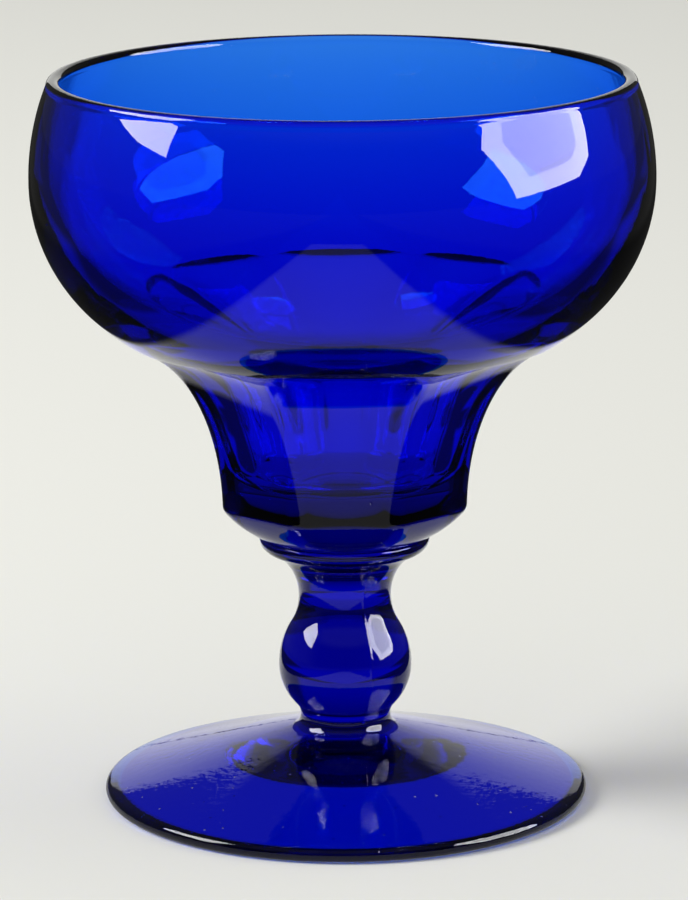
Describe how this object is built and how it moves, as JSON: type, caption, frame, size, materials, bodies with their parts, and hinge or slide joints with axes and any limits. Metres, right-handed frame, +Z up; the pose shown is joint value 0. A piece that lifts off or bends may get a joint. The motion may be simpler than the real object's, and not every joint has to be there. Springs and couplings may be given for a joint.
{
  "type": "sherbet glass",
  "caption": "Stemmed glass with a wide round bowl over flat flared panels, a thin collar, a knopped baluster stem and a low domed foot.",
  "frame": {"origin": "on the table, under the middle of the foot", "axes": "+Z up the stem, on the glass's axis; -Y is towards the viewer and square to one flat panel; +X is to the viewer's right"},
  "size_m": [0.101, 0.101, 0.1196],
  "materials": {
    "bowl_glass": "fire-polished pressed glass, cobalt blue, clear and glossy",
    "collar_glass": "fire-polished glass, cobalt blue, clear and glossy",
    "stem_glass": "fire-polished pressed glass, cobalt blue, with a faint mould seam",
    "foot_glass": "fire-polished glass, cobalt blue, clear and glossy, lightly dusty"
  },
  "bodies": {
    "root": {"bowl": "bowl_glass", "collar": "collar_glass", "stem": "stem_glass", "foot": "foot_glass"}
  },
  "joints": []
}
